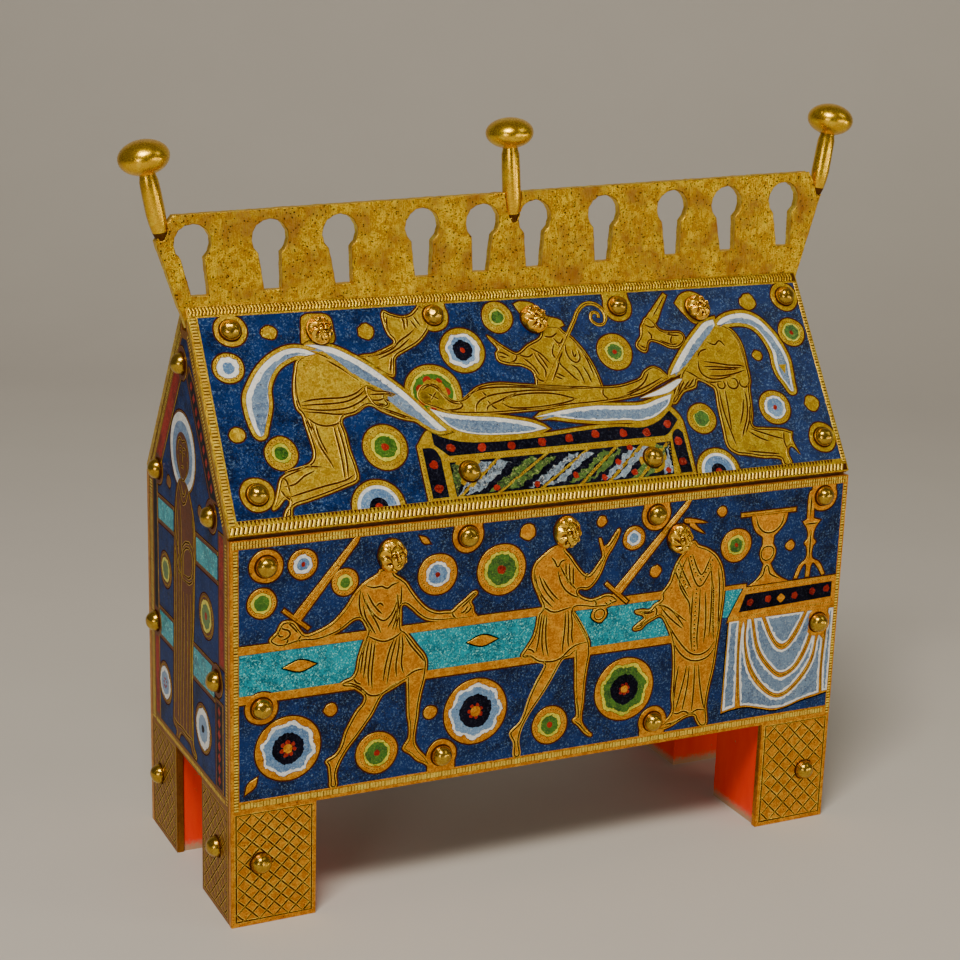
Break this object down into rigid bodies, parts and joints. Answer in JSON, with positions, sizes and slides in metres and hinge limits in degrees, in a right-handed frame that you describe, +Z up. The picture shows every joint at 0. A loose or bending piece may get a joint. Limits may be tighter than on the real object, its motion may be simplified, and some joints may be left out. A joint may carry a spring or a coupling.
{
  "type": "reliquary casket",
  "caption": "House-shaped reliquary casket: enamelled and gilt copper plates nailed over a wooden box on square legs, with a pierced ridge crest and ball knobs.",
  "frame": {"origin": "on the ground, under the middle of the box", "axes": "+X along the length to the viewer's right, -Y towards the main pictured face, +Z up"},
  "size_m": [0.2001, 0.0721, 0.1903],
  "materials": {
    "enamelled_copper": "champleve enamel in blue, turquoise, white, green, red and black, flush with engraved gilt copper figures and borders",
    "gilt_copper": "worn and pitted mercury gilding on sheet copper",
    "cast_gilt": "cast or domed copper, gilded and rubbed bright",
    "painted_wood": "wooden legs painted orange-red, rubbed pale at the edges",
    "bare_wood": "plain brown oak boards"
  },
  "bodies": {
    "root": {"board_back": "bare_wood", "board_floor": "bare_wood", "board_front": "bare_wood", "board_left": "bare_wood", "board_right": "bare_wood", "board_roof_back": "bare_wood", "board_roof_front": "bare_wood", "crest": "gilt_copper", "head_bearer_left": "cast_gilt", "head_bearer_right": "cast_gilt", "head_bishop": "cast_gilt", "head_priest": "cast_gilt", "head_swordsman_left": "cast_gilt", "head_swordsman_right": "cast_gilt", "knob_left": "cast_gilt", "knob_middle": "cast_gilt", "knob_right": "cast_gilt", "leg_back_left": "painted_wood", "leg_back_right": "painted_wood", "leg_front_left": "painted_wood", "leg_front_right": "painted_wood", "nail_back_01": "cast_gilt", "nail_back_02": "cast_gilt", "nail_back_03": "cast_gilt", "nail_back_04": "cast_gilt", "nail_back_05": "cast_gilt", "nail_back_06": "cast_gilt", "nail_front_01": "cast_gilt", "nail_front_02": "cast_gilt", "nail_front_03": "cast_gilt", "nail_front_04": "cast_gilt", "nail_front_05": "cast_gilt", "nail_front_06": "cast_gilt", "nail_front_07": "cast_gilt", "nail_front_08": "cast_gilt", "nail_front_09": "cast_gilt", "nail_front_10": "cast_gilt", "nail_left_01": "cast_gilt", "nail_left_02": "cast_gilt", "nail_left_03": "cast_gilt", "nail_left_04": "cast_gilt", "nail_left_05": "cast_gilt", "nail_left_06": "cast_gilt", "nail_left_07": "cast_gilt", "nail_roof_01": "cast_gilt", "nail_roof_02": "cast_gilt", "nail_roof_03": "cast_gilt", "nail_roof_04": "cast_gilt", "nail_roof_05": "cast_gilt", "nail_roof_06": "cast_gilt", "nail_roof_07": "cast_gilt", "nail_roof_08": "cast_gilt", "plate_back": "enamelled_copper", "plate_front": "enamelled_copper", "plate_left": "enamelled_copper", "plate_right": "enamelled_copper", "plate_roof_back": "enamelled_copper", "plate_roof_front": "enamelled_copper"}
  },
  "joints": []
}
